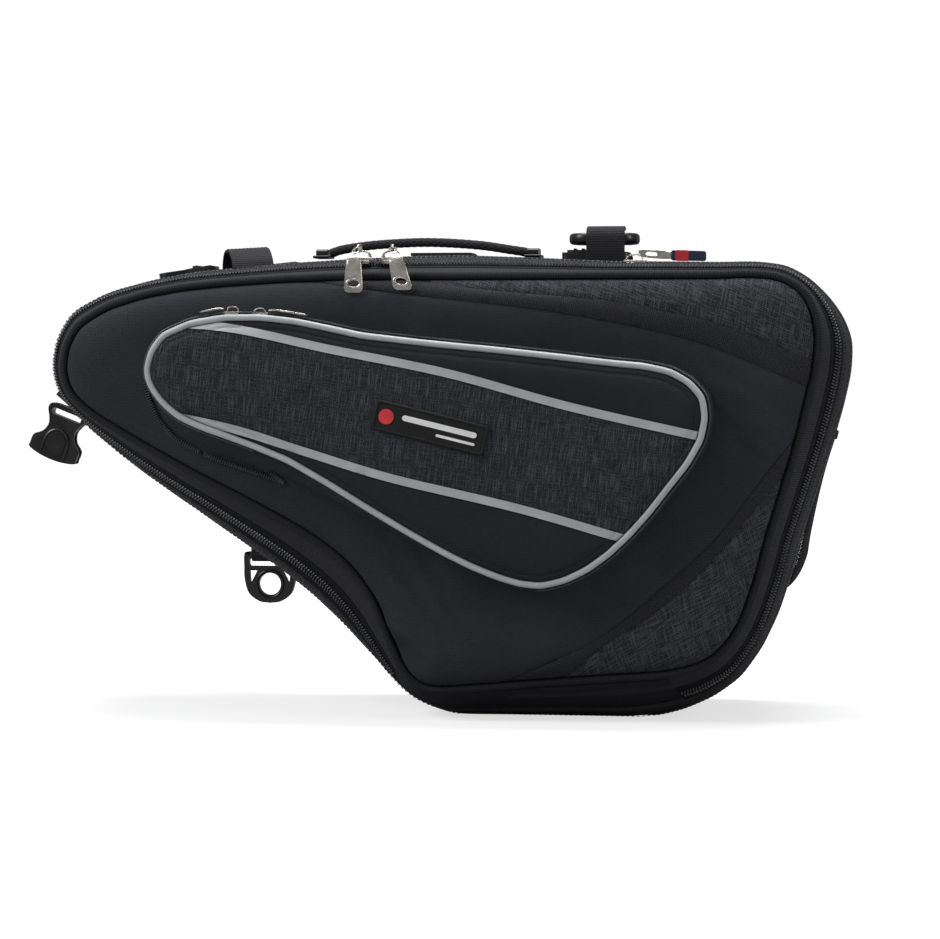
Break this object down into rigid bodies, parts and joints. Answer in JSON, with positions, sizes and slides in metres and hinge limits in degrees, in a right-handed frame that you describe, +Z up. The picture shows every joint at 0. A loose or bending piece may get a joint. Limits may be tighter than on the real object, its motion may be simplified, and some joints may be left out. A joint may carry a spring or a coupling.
{
  "type": "motorcycle saddlebag",
  "caption": "Teardrop soft motorcycle saddlebag with a zipped clamshell lid, zipped lid pocket, rope handle, net end pocket and hanging strap buckles.",
  "frame": {"origin": "middle of the flat base that the bag stands on, where mount floor_base is", "axes": "+X along the bag away from its long nose, -Y out through the zipped lid, +Z up"},
  "size_m": [0.5502, 0.1926, 0.3036],
  "materials": {
    "black_fabric": "matt woven polyester",
    "heather_fabric": "two-tone heather weave",
    "webbing": "ribbed woven webbing",
    "piping": "fabric-covered piping cord",
    "reflective": "grey reflective trim",
    "zip": "black coil zip",
    "mesh_fabric": "open elastic net",
    "stiffener": "board stiffener",
    "buckle_plastic": "moulded acetal",
    "badge_rubber": "moulded soft rubber patch",
    "nickel": "bright nickel plate",
    "tag_rubber": "moulded navy rubber with a red band",
    "rope": "braided cord over a stiff core"
  },
  "bodies": {
    "root": {"back_panel": "black_fabric", "back_board": "stiffener", "top_gusset": "black_fabric", "end_gusset": "black_fabric", "base_gusset": "black_fabric", "underside_gusset": "black_fabric", "body_piping": "piping", "rear_piping": "piping", "expansion_zip": "zip", "front_band": "black_fabric", "main_zip_body_tape": "zip", "hinge_panel": "black_fabric", "mesh_pocket": "mesh_fabric", "mesh_pocket_binding": "webbing", "webbing_loop": "webbing", "tie_strap": "webbing", "handle_anchor_left": "buckle_plastic", "handle_anchor_right": "buckle_plastic", "strap_ring_tab": "webbing", "strap_ring_base": "buckle_plastic", "seat_strap_front": "webbing", "seat_strap_rear": "webbing"},
    "lid": {"lid_board": "stiffener", "lid_panel": "black_fabric", "upper_trim": "webbing", "upper_corner_panel": "heather_fabric", "lower_trim": "webbing", "lower_corner_panel": "heather_fabric", "lid_piping": "piping", "lid_gusset": "webbing", "main_zip_lid_tape": "zip", "pocket_wall": "black_fabric", "pocket_zip_wall_tape": "zip", "pocket_hinge_strip": "black_fabric"},
    "pocket_flap": {"pocket_flap_upper": "black_fabric", "pocket_band": "heather_fabric", "pocket_flap_lower": "black_fabric", "pocket_piping": "reflective", "upper_reflective_strip": "reflective", "lower_reflective_strip": "reflective", "badge": "badge_rubber", "pocket_zip_flap_tape": "zip"},
    "main_slider_left": {"main_slider_left": "nickel"},
    "main_puller_left": {"main_puller_left": "nickel"},
    "main_slider_right": {"main_slider_right": "nickel"},
    "main_puller_right": {"main_puller_right": "nickel"},
    "pocket_slider_left": {"pocket_slider_left": "nickel"},
    "pocket_puller_left": {"pocket_puller_left": "nickel"},
    "pocket_slider_right": {"pocket_slider_right": "nickel"},
    "pocket_puller_right": {"pocket_puller_right": "nickel"},
    "expansion_slider": {"expansion_slider": "nickel"},
    "expansion_pull": {"expansion_pull_tag": "tag_rubber"},
    "rope_handle": {"rope_handle": "rope"},
    "top_buckle": {"top_buckle": "buckle_plastic"},
    "strap_ring": {"strap_ring": "buckle_plastic"},
    "nose_strap": {"nose_strap": "webbing", "nose_buckle": "buckle_plastic"},
    "under_strap": {"under_strap": "webbing", "under_buckle": "buckle_plastic"}
  },
  "joints": [
    {"name": "lid_hinge", "type": "hinge", "parent": "root", "child": "lid", "pos_m": [0, -0.048, 0.0055], "axis": [1, 0, 0], "range_deg": [0, 45]},
    {"name": "pocket_flap_hinge", "type": "hinge", "parent": "lid", "child": "pocket_flap", "pos_m": [-0.098, -0.0932, 0.126], "axis": [0.9016, 0, -0.4326], "range_deg": [0, 45]},
    {"name": "main_slider_left_slide", "type": "slide", "parent": "lid", "child": "main_slider_left", "axis": [-0.9979, 0, -0.0649], "range_m": [0, 0.08]},
    {"name": "main_slider_right_slide", "type": "slide", "parent": "lid", "child": "main_slider_right", "axis": [0.9999, 0, -0.014], "range_m": [0, 0.2]},
    {"name": "main_puller_left_hinge", "type": "hinge", "parent": "main_slider_left", "child": "main_puller_left", "pos_m": [-0.109, -0.05, 0.2884], "axis": [-1, 0, 0], "range_deg": [0, 110]},
    {"name": "main_puller_right_hinge", "type": "hinge", "parent": "main_slider_right", "child": "main_puller_right", "pos_m": [-0.09, -0.05, 0.2884], "axis": [-1, 0, 0], "range_deg": [0, 110]},
    {"name": "pocket_slider_left_slide", "type": "slide", "parent": "lid", "child": "pocket_slider_left", "axis": [-0.9942, 0, -0.1077], "range_m": [0, 0.024]},
    {"name": "pocket_slider_right_slide", "type": "slide", "parent": "lid", "child": "pocket_slider_right", "axis": [0.9919, 0, -0.1274], "range_m": [0, 0.2]},
    {"name": "pocket_puller_left_hinge", "type": "hinge", "parent": "pocket_slider_left", "child": "pocket_puller_left", "pos_m": [-0.1852, -0.093, 0.251], "axis": [0, 1, 0], "range_deg": [0, 80]},
    {"name": "pocket_puller_right_hinge", "type": "hinge", "parent": "pocket_slider_right", "child": "pocket_puller_right", "pos_m": [-0.1578, -0.093, 0.2499], "axis": [0, -1, 0], "range_deg": [0, 80]},
    {"name": "expansion_slider_slide", "type": "slide", "parent": "root", "child": "expansion_slider", "axis": [0.9999, 0, -0.0125], "range_m": [0, 0.08]},
    {"name": "expansion_pull_hinge", "type": "hinge", "parent": "expansion_slider", "child": "expansion_pull", "pos_m": [0.061, -0.017, 0.286], "axis": [0, -1, 0], "range_deg": [0, 120]},
    {"name": "rope_handle_swing", "type": "hinge", "parent": "root", "child": "rope_handle", "pos_m": [-0.075, 0, 0.2874], "axis": [1, 0, 0], "range_deg": [-70, 70]},
    {"name": "top_buckle_lift", "type": "hinge", "parent": "root", "child": "top_buckle", "pos_m": [-0.2095, 0, 0.2774], "axis": [0, 1, 0], "range_deg": [0, 30]},
    {"name": "strap_ring_lift", "type": "hinge", "parent": "root", "child": "strap_ring", "pos_m": [0.036, -0.006, 0.296], "axis": [1, 0, 0], "range_deg": [0, 80]},
    {"name": "nose_strap_swing", "type": "hinge", "parent": "root", "child": "nose_strap", "pos_m": [-0.291, 0.0856, 0.237], "axis": [0.7513, 0, -0.66], "range_deg": [0, 60]},
    {"name": "under_strap_swing", "type": "hinge", "parent": "root", "child": "under_strap", "pos_m": [-0.195, 0.0856, 0.15], "axis": [1, 0, 0], "range_deg": [0, 60]}
  ]
}
